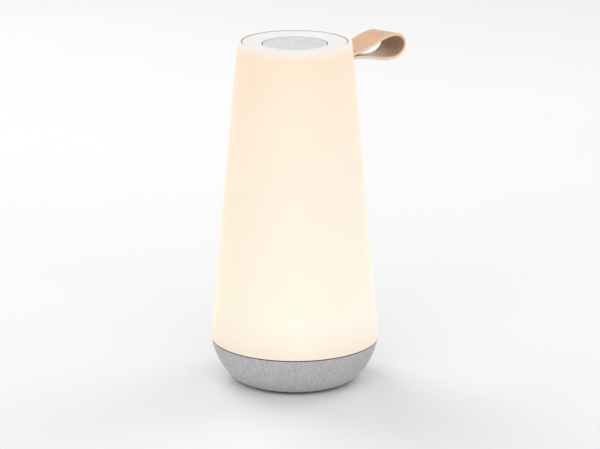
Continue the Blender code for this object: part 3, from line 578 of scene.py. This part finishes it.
def rounded_block(wide, high, near, far, radius, matrix):
    """A block with rounded corners about its own Z, placed by a matrix."""
    bm = bmesh.new()
    bmesh.ops.create_cube(bm, size=1)
    middle = (near + far) / 2
    bmesh.ops.transform(bm, matrix=Matrix.Translation((0, 0, middle))
                        @ Matrix.Diagonal((wide, high, far - near, 1)), verts=bm.verts)
    sides = [e for e in bm.edges if abs(e.verts[0].co.z - e.verts[1].co.z) > 1e-6]
    bmesh.ops.bevel(bm, geom=sides, offset=radius, segments=8, affect="EDGES", profile=0.5)
    mesh = bpy.data.meshes.new("block")
    bm.to_mesh(mesh)
    bm.free()
    mesh.transform(matrix)
    return mesh


panel_low, panel_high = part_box("port_panel")
panel_wide = panel_high.x - panel_low.x
panel_tall = 10.5 * MM
panel_height = 22.2 * MM
panel_gap = 0.5 * MM
panel_corner = 4.2 * MM
window_depth = 14 * MM
near_points = flank(0, cover_top, 800)
nearest = min(range(1, len(near_points) - 1), key=lambda i: abs(near_points[i][1] - panel_height))
run_down = Vector(near_points[nearest + 1]) - Vector(near_points[nearest - 1])
panel_tilt = math.atan2(-run_down.x, -run_down.y)
panel_place = (Matrix.Translation((0, near_points[nearest][0], panel_height))
               @ Matrix.Rotation(-panel_tilt, 4, "X") @ Matrix.Rotation(-math.pi / 2, 4, "X"))
window = rounded_block(panel_wide + panel_gap, panel_tall + panel_gap, -window_depth, window_depth,
                       panel_corner, panel_place)
cloth_mesh = cut_away(cloth_mesh, window)
cloth_mesh.shade_smooth()
add_piece("knit_cover", cloth_mesh, "housing", ["base_fabric"])

panel_moulding = moulded("panel_moulding", grey(92), grey(80), (0.5, 0.65), 2200, 0.03 * MM)
key_moulding = moulded("key_moulding", grey(120), grey(108), (0.42, 0.55), 2600, 0.02 * MM)
dress(["port_panel"], panel_moulding)
dress(["power_button", "pairing_button"], key_moulding)


# Seam gasket. A thin dark brown rubber lip, pinched between shade and bowl. It stands back a little from
# both, so that the seam shows as a thin dark line.
def rounded(corners, segments=4):
    """Closed outline of (radius, height, rounding) corners, each rounding made as a short arc."""
    points = []
    count = len(corners)
    for i, (x, z, radius) in enumerate(corners):
        here = Vector((x, z))
        before = Vector(corners[i - 1][:2])
        after = Vector(corners[(i + 1) % count][:2])
        if radius == 0:
            points.append((x, z))
            continue
        start = here + (before - here).normalized() * radius
        end = here + (after - here).normalized() * radius
        for k in range(segments + 1):
            t = k / segments
            spot = start * (1 - t) ** 2 + here * 2 * t * (1 - t) + end * t ** 2
            points.append((spot.x, spot.y))
    return points


seal_rubber = moulded("seal_rubber", tone(96, 78, 74), tone(70, 56, 54), (0.6, 0.8), 1500, 0.03 * MM)
seal_low, seal_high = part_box("seam_gasket")
seal_outer = seal_high.x + 0.3 * MM
seal_inner = 60.8 * MM
seal_round = 0.15 * MM
seal_outline = rounded([(seal_outer, seal_high.z, seal_round), (seal_outer, seal_low.z, seal_round),
                        (seal_inner, seal_low.z, 0), (seal_inner, seal_high.z, 0)])
add_piece("seam_seal", revolve("seam_seal", seal_outline, 256, seal_rubber), "housing",
          ["seam_gasket"])


# Light deck, column, top frame and strap anchor. White mouldings inside the shade: the deck throws the
# light up, and the others carry the upper driver, the dial and the leather.
white_moulding = moulded("white_moulding", grey(244), grey(236), (0.4, 0.5), 2400, 0.01 * MM)
dress(["light_deck", "column_tube", "top_frame", "strap_anchor"], white_moulding)


# Shade. One tapering opal moulding, satin outside, lit warm from a ring of lamps at its foot, so that it
# is brightest a little above the seam and peach towards the top. The leather goes in through its slot.
shade_low, shade_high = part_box("diffuser_shell")
shade_top = 43.6 * MM
shade_foot = 65.2 * MM
shade_wall = 2.9 * MM
glowing_skin = 0.5 * MM
shaded_inner_glow = 0.3
lip_depth = 1.5 * MM
lip_glow_and_light = 0.86
slot_corner = 0.9 * MM
opal, tree, shader = finish_of("opal_shade")
position = node(tree, "ShaderNodeTexCoord", out=3)
axes = tree.nodes.new("ShaderNodeSeparateXYZ")
wire(tree, axes.inputs[0], position)
climb = node(tree, "ShaderNodeMapRange", {"Value": axes.outputs[2], "From Min": shade_low.z,
                                          "From Max": shade_high.z})
# The ramp's last stops whiten the lip: painted light standing in for studio light on the rim's top.
glow = ramp(tree, climb, [
    (0.0, (0.60, 0.48, 0.40, 1)), (0.017, (0.61, 0.515, 0.43, 1)), (0.05, (0.62, 0.556, 0.48, 1)),
    (0.114, (0.62, 0.605, 0.51, 1)), (0.192, (0.62, 0.59, 0.49, 1)), (0.347, (0.62, 0.57, 0.475, 1)),
    (0.5, (0.62, 0.54, 0.45, 1)), (0.657, (0.62, 0.525, 0.42, 1)), (0.81, (0.62, 0.50, 0.385, 1)),
    (0.967, (0.61, 0.47, 0.34, 1)), (0.99, (0.60, 0.51, 0.42, 1)), (1.0, (0.60, 0.58, 0.55, 1))])
flank_radius = node(tree, "ShaderNodeMapRange", {"Value": climb, "To Min": shade_foot, "To Max": shade_top})
level_place = node(tree, "ShaderNodeVectorMath", {0: position, 1: (1, 1, 0)}, operation="MULTIPLY")
radius = node(tree, "ShaderNodeVectorMath", {0: level_place}, out=1, operation="LENGTH")
# Painted shade: the inner wall glows at only a fraction of the outer skin, so the gap round the dial reads
# dark.
skin = node(tree, "ShaderNodeMapRange", {"Value": maths(tree, "SUBTRACT", flank_radius, radius),
                                         "From Min": shade_wall, "From Max": shade_wall - glowing_skin,
                                         "To Min": shaded_inner_glow})
# The lip's glow is partly the shade's own light and partly painted light from above, so it stays near full.
below_lip = node(tree, "ShaderNodeMapRange", {"Value": axes.outputs[2], "From Min": shade_high.z,
                                              "From Max": shade_high.z - lip_depth, "To Min": lip_glow_and_light})
lit = maths(tree, "MULTIPLY", skin, below_lip)
lit_tone = node(tree, "ShaderNodeCombineColor", {0: lit, 1: lit, 2: lit})
# Painted light: the glow is paler towards the camera's right and warmer to the left, as if lit from the
# right.
toward_lit_side = node(tree, "ShaderNodeVectorMath", {0: position, 1: (0.77, 0.64, 0)}, out=1,
                    operation="DOT_PRODUCT")
painted_side_light = ramp(tree, node(tree, "ShaderNodeMapRange", {"Value": toward_lit_side, "From Min": -shade_foot,
                                                         "From Max": shade_foot}), [
    (0.0, (0.95, 0.90, 0.83, 1)), (0.5, (1, 1, 1, 1)), (1.0, (0.97, 0.97, 0.98, 1))])
for layer in (painted_side_light, lit_tone):
    glow = node(tree, "ShaderNodeMix", {0: 1.0, 6: glow, 7: layer}, out=2, data_type="RGBA",
                blend_type="MULTIPLY")
wire(tree, shader.inputs["Emission Color"], glow)
shader.inputs["Emission Strength"].default_value = 1.0
mottle = fine_noise(tree, 35, 3)
wire(tree, shader.inputs["Base Color"], ramp(tree, mottle, [
    (0.3, (0.42, 0.385, 0.335, 1)), (0.7, (0.44, 0.405, 0.355, 1))]))
satin = fine_noise(tree, 3200, 2)
wire(tree, shader.inputs["Roughness"], node(tree, "ShaderNodeMapRange", {
    "Value": satin, "From Min": 0.3, "From Max": 0.7, "To Min": 0.45, "To Max": 0.55}))
shader.inputs["Specular IOR Level"].default_value = 0.15
bump(tree, shader, satin, 0.006 * MM)
shade_outline = rounded([
    (shade_top, shade_high.z, 0.7 * MM), (shade_foot, shade_low.z, 0.3 * MM),
    (shade_foot - shade_wall, shade_low.z, 0), (shade_top - shade_wall, shade_high.z, 0.3 * MM)], 6)
shade_mesh = revolve("shade", shade_outline, 256, opal)
leather_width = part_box("strap_loop")[1].x * 2
root_low, root_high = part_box("strap_root")
leather_middle = (root_low.z + root_high.z) / 2
slot_width = leather_width + 1.0 * MM
slot_height = root_high.z - root_low.z + 0.8 * MM
slot_place = Matrix.Translation((0, 0, leather_middle)) @ Matrix.Rotation(-math.pi / 2, 4, "X")
slot_cutter = rounded_block(slot_width, slot_height, 20 * MM, 60 * MM, slot_corner, slot_place)
shade_mesh = cut_away(shade_mesh, slot_cutter)
shade_mesh.shade_smooth()
shade_mesh.set_sharp_from_angle(angle=math.radians(50))
shade = add_piece("shade", shade_mesh, "housing", ["diffuser_shell"])
unlit_by_shade = bpy.data.collections.new("unlit_by_shade")
unlit_by_shade.objects.link(floor)
unlit_by_shade.collection_objects[0].light_linking.link_state = "EXCLUDE"
shade.light_linking.receiver_collection = unlit_by_shade


# Grille. Light grey coated sheet, finely perforated in staggered rows, slightly crowned and rolled down
# at its edge. It sits still in the dial's opening while the dial turns round it.
hole_pitch = 1.75 * MM
hole_radius = 0.54 * MM
rows_across = 35
sheet_thickness = 0.5 * MM
edge_roll = 0.8 * MM
plain_border = 0.6 * MM
grille_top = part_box("top_grille")[1].z
grille_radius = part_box("top_grille")[1].x - 0.5 * MM
coated = moulded("coated_sheet", grey(238), grey(229), (0.45, 0.6), 2600, 0.01 * MM)
grille_tree, sizes = graph("perforated_disc", ["Radius", "Pitch", "Hole Radius", "Sheet", "Roll", "Border"])
row_height = maths(grille_tree, "MULTIPLY", sizes.outputs["Pitch"], math.sqrt(3) / 2)
grid = node(grille_tree, "GeometryNodeMeshGrid", {
    "Size X": maths(grille_tree, "MULTIPLY", sizes.outputs["Pitch"], rows_across - 1.0),
    "Size Y": maths(grille_tree, "MULTIPLY", row_height, rows_across - 1.0),
    "Vertices X": rows_across, "Vertices Y": rows_across})
spot = node(grille_tree, "GeometryNodeInputPosition")
spot_across = node(grille_tree, "ShaderNodeSeparateXYZ", {0: spot}, out=1)
spot_row = maths(grille_tree, "ROUND", maths(grille_tree, "DIVIDE", spot_across, row_height))
stagger = maths(grille_tree, "MULTIPLY", maths(grille_tree, "FLOORED_MODULO", spot_row, 2.0),
                maths(grille_tree, "MULTIPLY", sizes.outputs["Pitch"], 0.5))
grid = node(grille_tree, "GeometryNodeSetPosition", {
    "Geometry": grid, "Offset": node(grille_tree, "ShaderNodeCombineXYZ", {"X": stagger})})
reach = node(grille_tree, "ShaderNodeVectorMath", {0: spot}, out=1, operation="LENGTH")
too_far = node(grille_tree, "FunctionNodeCompare", {
    0: reach, 1: maths(grille_tree, "SUBTRACT", sizes.outputs["Radius"], sizes.outputs["Border"])},
    operation="GREATER_THAN")
grid = node(grille_tree, "GeometryNodeDeleteGeometry", {
    "Geometry": grid, "Selection": too_far}, domain="POINT")
hole = node(grille_tree, "GeometryNodeCurvePrimitiveCircle", {
    "Resolution": 10, "Radius": sizes.outputs["Hole Radius"]})
holes = node(grille_tree, "GeometryNodeInstanceOnPoints", {"Points": grid, "Instance": hole})
rim = node(grille_tree, "GeometryNodeCurvePrimitiveCircle", {
    "Resolution": 180, "Radius": sizes.outputs["Radius"]})
outlines = grille_tree.nodes.new("GeometryNodeJoinGeometry")
wire(grille_tree, outlines.inputs[0], node(grille_tree, "GeometryNodeRealizeInstances", {"Geometry": holes}))
wire(grille_tree, outlines.inputs[0], rim)
sheet = node(grille_tree, "GeometryNodeFillCurve", {"Curve": outlines.outputs[0]}, mode="TRIANGLES")
upwards = node(grille_tree, "ShaderNodeCombineXYZ", {"Z": 1.0})
raised = node(grille_tree, "GeometryNodeExtrudeMesh", {
    "Mesh": sheet, "Offset": upwards, "Offset Scale": sizes.outputs["Sheet"],
    "Individual": False}, mode="FACES")
both_faces = grille_tree.nodes.new("GeometryNodeJoinGeometry")
wire(grille_tree, both_faces.inputs[0], raised)
wire(grille_tree, both_faces.inputs[0], node(grille_tree, "GeometryNodeFlipFaces", {"Mesh": sheet}))
solid = node(grille_tree, "GeometryNodeMergeByDistance", {"Geometry": both_faces.outputs[0],
                                                          "Distance": 0.000001})
level_spot = node(grille_tree, "ShaderNodeVectorMath", {0: spot, 1: (1, 1, 0)}, operation="MULTIPLY")
level_reach = node(grille_tree, "ShaderNodeVectorMath", {0: level_spot}, out=1, operation="LENGTH")
share = maths(grille_tree, "DIVIDE", level_reach, sizes.outputs["Radius"])
crown = maths(grille_tree, "MULTIPLY", maths(grille_tree, "POWER", share, 2.0), 0.35)
rolled = maths(grille_tree, "MULTIPLY_ADD", maths(grille_tree, "POWER", share, 20.0), 0.65, crown)
fall = maths(grille_tree, "MULTIPLY", rolled, sizes.outputs["Roll"])
solid = node(grille_tree, "GeometryNodeSetPosition", {
    "Geometry": solid, "Offset": node(grille_tree, "ShaderNodeCombineXYZ", {
        "Z": maths(grille_tree, "MULTIPLY", fall, -1.0)})})
close_graph(grille_tree, solid, coated)
grille_mesh = grow("perforated_grille", grille_tree, {
    "Radius": grille_radius, "Pitch": hole_pitch, "Hole Radius": hole_radius, "Sheet": sheet_thickness,
    "Roll": edge_roll, "Border": plain_border})
grille_mesh.transform(Matrix.Translation((0, 0, grille_top - sheet_thickness)))
add_piece("perforated_grille", grille_mesh, "housing", ["top_grille"])


# Acoustic cloth. A dark open weave, stretched under the grille to keep dust from the upper driver. It
# shows through the holes.
scrim_cloth, tree, shader = finish_of("scrim_cloth")
place = node(tree, "ShaderNodeTexCoord", out=3)
weave = [node(tree, "ShaderNodeTexWave", {"Vector": place, "Scale": 500.0}, out=1, bands_direction=axis)
         for axis in ("X", "Y")]
mesh_height = maths(tree, "MAXIMUM", weave[0], weave[1])
wire(tree, shader.inputs["Base Color"], ramp(tree, mesh_height, [(0.2, grey(22)), (0.9, grey(70))]))
shader.inputs["Roughness"].default_value = 0.9
bump(tree, shader, mesh_height, 0.05 * MM)
dress(["grille_scrim"], scrim_cloth)


# Dial. A white satin ring with softened edges, slightly dished towards the grille, with one low raised pip
# to feel for; it turns about Z.
white_satin = moulded("white_satin", grey(246), grey(243), (0.32, 0.4), 3000, 0.004 * MM)
dial_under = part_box("control_ring")[0].z
dial_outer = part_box("control_ring")[1].x - 0.4 * MM
dial_inner = 25.3 * MM
dial_top = 267.7 * MM
dish_depth = 1.2 * MM
dial_round = 0.4 * MM
skirt_round = 0.2 * MM
skirt_wall = 1.7 * MM
plate_thickness = 2.8 * MM
top_rows = 40
pip_place = Vector((0, 32.8 * MM))
pip_radius = 4.4 * MM
pip_height = 0.85 * MM
face_outline = []
for i in range(top_rows + 1):
    share = i / top_rows
    face_outline.append((dial_inner + dial_round + (dial_outer - dial_inner - 2 * dial_round) * share,
                         dial_top - dish_depth * (1 - share)))
plate_under = dial_top - plate_thickness
dial_outline = face_outline + rounded([
    (dial_outer, dial_top, dial_round), (dial_outer, dial_under, skirt_round),
    (dial_outer - skirt_wall, dial_under, skirt_round), (dial_outer - skirt_wall, plate_under, 0),
    (dial_inner, plate_under, skirt_round), (dial_inner, dial_top - dish_depth, dial_round)], 5)[:-1]


def raised_pip(index, angle, radius, height):
    """Raise the top face smoothly into a low dome round the pip's centre."""
    away = (Vector((radius * math.cos(angle), radius * math.sin(angle))) - pip_place).length / pip_radius
    if index > top_rows or away >= 1:
        return radius, height
    return radius, height + pip_height * (1 - away ** 2) ** 1.3


dial_mesh = revolve("dial", dial_outline, 480, white_satin, raised_pip, sharp=60)
add_piece("dial", dial_mesh, "dial", ["control_ring"])


# Leather loop. One strip of natural tan hide, grain side out, folded into a loop; its two ends lie flesh
# to flesh and go through the shade's slot to the clamp, and the edges are cut clean.
leather = (root_high.z - root_low.z) / 2
root_start = root_low.y + 0.2 * MM
layer_gap = 0.06 * MM
split_at = 50.2 * MM
rise_begins = 80 * MM
rise_ends = 88 * MM
widest_at = 106.5 * MM
half_opening = 8.15 * MM
end_reach = 14.4 * MM
across_cuts = 14
half_width = leather_width / 2 - 0.05 * MM
edge_round = 0.35 * MM
edge_soft = 0.08 * MM
flesh_offset = 40 * MM


def bezier(a, b, c, d, count):
    """Points along a cubic curve, without its last one."""
    points = []
    for i in range(count):
        t = i / count
        points.append(a * (1 - t) ** 3 + b * 3 * t * (1 - t) ** 2 + c * 3 * t ** 2 * (1 - t) + d * t ** 3)
    return points


def loop_line():
    """Middle line of the leather in the YZ plane: out along the top, round the end and back underneath."""
    half = (leather + layer_gap) / 2
    peak = half_opening + half
    straight = [Vector((root_start + (split_at - root_start) * i / 20, half)) for i in range(20)]
    rise = bezier(Vector((split_at, half)), Vector((rise_begins, half + 0.5 * MM)),
                  Vector((rise_ends, peak)), Vector((widest_at, peak)), 44)
    bend = [Vector((widest_at + (end_reach + half) * math.sin(a), peak * math.cos(a)))
            for a in [math.pi / 2 * i / 28 for i in range(29)]]
    upper = straight + rise + bend
    return upper + [Vector((p.x, -p.y)) for p in upper[-2::-1]]


line = loop_line()
distances = [0.0]
for a, b in zip(line, line[1:]):
    distances.append(distances[-1] + (b - a).length)
loop_length = distances[-1]

hide, tree, shader = finish_of("tan_hide")
uv = node(tree, "ShaderNodeUVMap", uv_map="along_and_across")
side = node(tree, "ShaderNodeAttribute", out=2, attribute_name="leather_side")
pebble = node(tree, "ShaderNodeTexVoronoi", {"Vector": uv, "Scale": 950.0, "Randomness": 1.0},
              feature="SMOOTH_F1")
pores = node(tree, "ShaderNodeTexNoise", {"Vector": uv, "Scale": 2600.0, "Detail": 3.0})
cloud = node(tree, "ShaderNodeTexNoise", {"Vector": uv, "Scale": 90.0, "Detail": 4.0})
fibres = node(tree, "ShaderNodeTexNoise", {
    "Vector": node(tree, "ShaderNodeMapping", {"Vector": uv, "Scale": (0.5, 1.6, 1)}),
    "Scale": 900.0, "Detail": 6.0, "Roughness": 0.7})
grain_mix = maths(tree, "MULTIPLY_ADD", pores, 0.35, maths(tree, "MULTIPLY", cloud, 0.65))
grain = ramp(tree, grain_mix, [
    (0.32, tone(215, 166, 134)), (0.5, tone(221, 175, 143)), (0.68, tone(227, 183, 151))])
run = tree.nodes.new("ShaderNodeSeparateXYZ")
wire(tree, run.inputs[0], uv)
# Painted light: the flesh is much lighter along the lower run, which faces up; darker on the upper run and
# bend.
painted_lower_run_light = node(tree, "ShaderNodeMapRange", {"Value": run.outputs[0], "From Min": loop_length * 0.5,
                                            "From Max": loop_length * 0.72}, interpolation_type="SMOOTHSTEP")
flesh_mix = maths(tree, "MULTIPLY_ADD", fibres, 0.5, maths(tree, "MULTIPLY", cloud, 0.2))
flesh_mix = maths(tree, "MULTIPLY_ADD", painted_lower_run_light, 0.42, flesh_mix)
flesh = ramp(tree, flesh_mix, [
    (0.2, tone(150, 124, 102)), (0.38, tone(176, 149, 126)), (0.58, tone(220, 196, 176)),
    (0.8, tone(250, 234, 216))])
edge = ramp(tree, fibres, [(0.3, tone(244, 206, 172)), (0.7, tone(255, 224, 194))])
is_grain = node(tree, "ShaderNodeMapRange", {"Value": side, "From Min": 0.55, "From Max": 0.9})
is_flesh = node(tree, "ShaderNodeMapRange", {"Value": side, "From Min": 0.45, "From Max": 0.1})
with_flesh = node(tree, "ShaderNodeMix", {0: is_flesh, 6: edge, 7: flesh}, out=2, data_type="RGBA")
wire(tree, shader.inputs["Base Color"],
     node(tree, "ShaderNodeMix", {0: is_grain, 6: with_flesh, 7: grain}, out=2, data_type="RGBA"))
wire(tree, shader.inputs["Roughness"], node(tree, "ShaderNodeMapRange", {
    "Value": is_grain, "To Min": 0.85, "To Max": 0.5}))
grain_height = maths(tree, "MULTIPLY_ADD", pebble, 0.7, maths(tree, "MULTIPLY", pores, 0.3))
surface = node(tree, "ShaderNodeMix", {0: is_grain, 2: fibres, 3: grain_height})
bump(tree, shader, surface, 0.12 * MM, 0.6)
shader.inputs["Specular IOR Level"].default_value = 0.3
shader.inputs["Sheen Weight"].default_value = 0.08

section = []
for i in range(across_cuts + 1):
    x = -half_width + edge_round + 2 * (half_width - edge_round) * i / across_cuts
    section.append((x, leather / 2, 1.0))
cut_edge = [(half_width - edge_soft, leather / 2 - edge_soft, 0.6),
            (half_width, leather / 2 - edge_round, 0.5),
            (half_width, edge_round - leather / 2, 0.5),
            (half_width - edge_soft, edge_soft - leather / 2, 0.4)]
section += cut_edge + [(x, -y, 1.0 - s) for x, y, s in section[::-1]]
section += [(-x, y, s) for x, y, s in cut_edge[::-1]]

bm = bmesh.new()
uv_layer = bm.loops.layers.uv.new("along_and_across")
side_layer = bm.verts.layers.float.new("leather_side")
rows = []
for i, point in enumerate(line):
    ahead = line[min(i + 1, len(line) - 1)]
    behind = line[max(i - 1, 0)]
    run = (ahead - behind).normalized()
    outward = Vector((-run.y, run.x))
    row_verts = []
    for x, offset, side_value in section:
        spot = point + outward * offset
        vert = bm.verts.new((x, spot.x, leather_middle + spot.y))
        vert[side_layer] = side_value
        row_verts.append(vert)
    rows.append(row_verts)
count = len(section)
for i in range(len(rows) - 1):
    for j in range(count):
        k = (j + 1) % count
        face = bm.faces.new((rows[i][j], rows[i][k], rows[i + 1][k], rows[i + 1][j]))
        for loop, (along, across) in zip(face.loops, ((i, j), (i, k), (i + 1, k), (i + 1, j))):
            x, offset, side_value = section[across]
            loop[uv_layer].uv = (distances[along], x + (0 if side_value >= 0.5 else flesh_offset))
bm.faces.new(rows[0][::-1])
bm.faces.new(rows[-1])
bmesh.ops.recalc_face_normals(bm, faces=bm.faces)
strip_mesh = bpy.data.meshes.new("leather_loop")
bm.to_mesh(strip_mesh)
bm.free()
strip_mesh.materials.append(hide)
strip_mesh.shade_smooth()
strip_mesh.set_sharp_from_angle(angle=math.radians(60))
strip = add_piece("leather_loop", strip_mesh, None, ["strap_loop", "strap_root"])
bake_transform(strip)
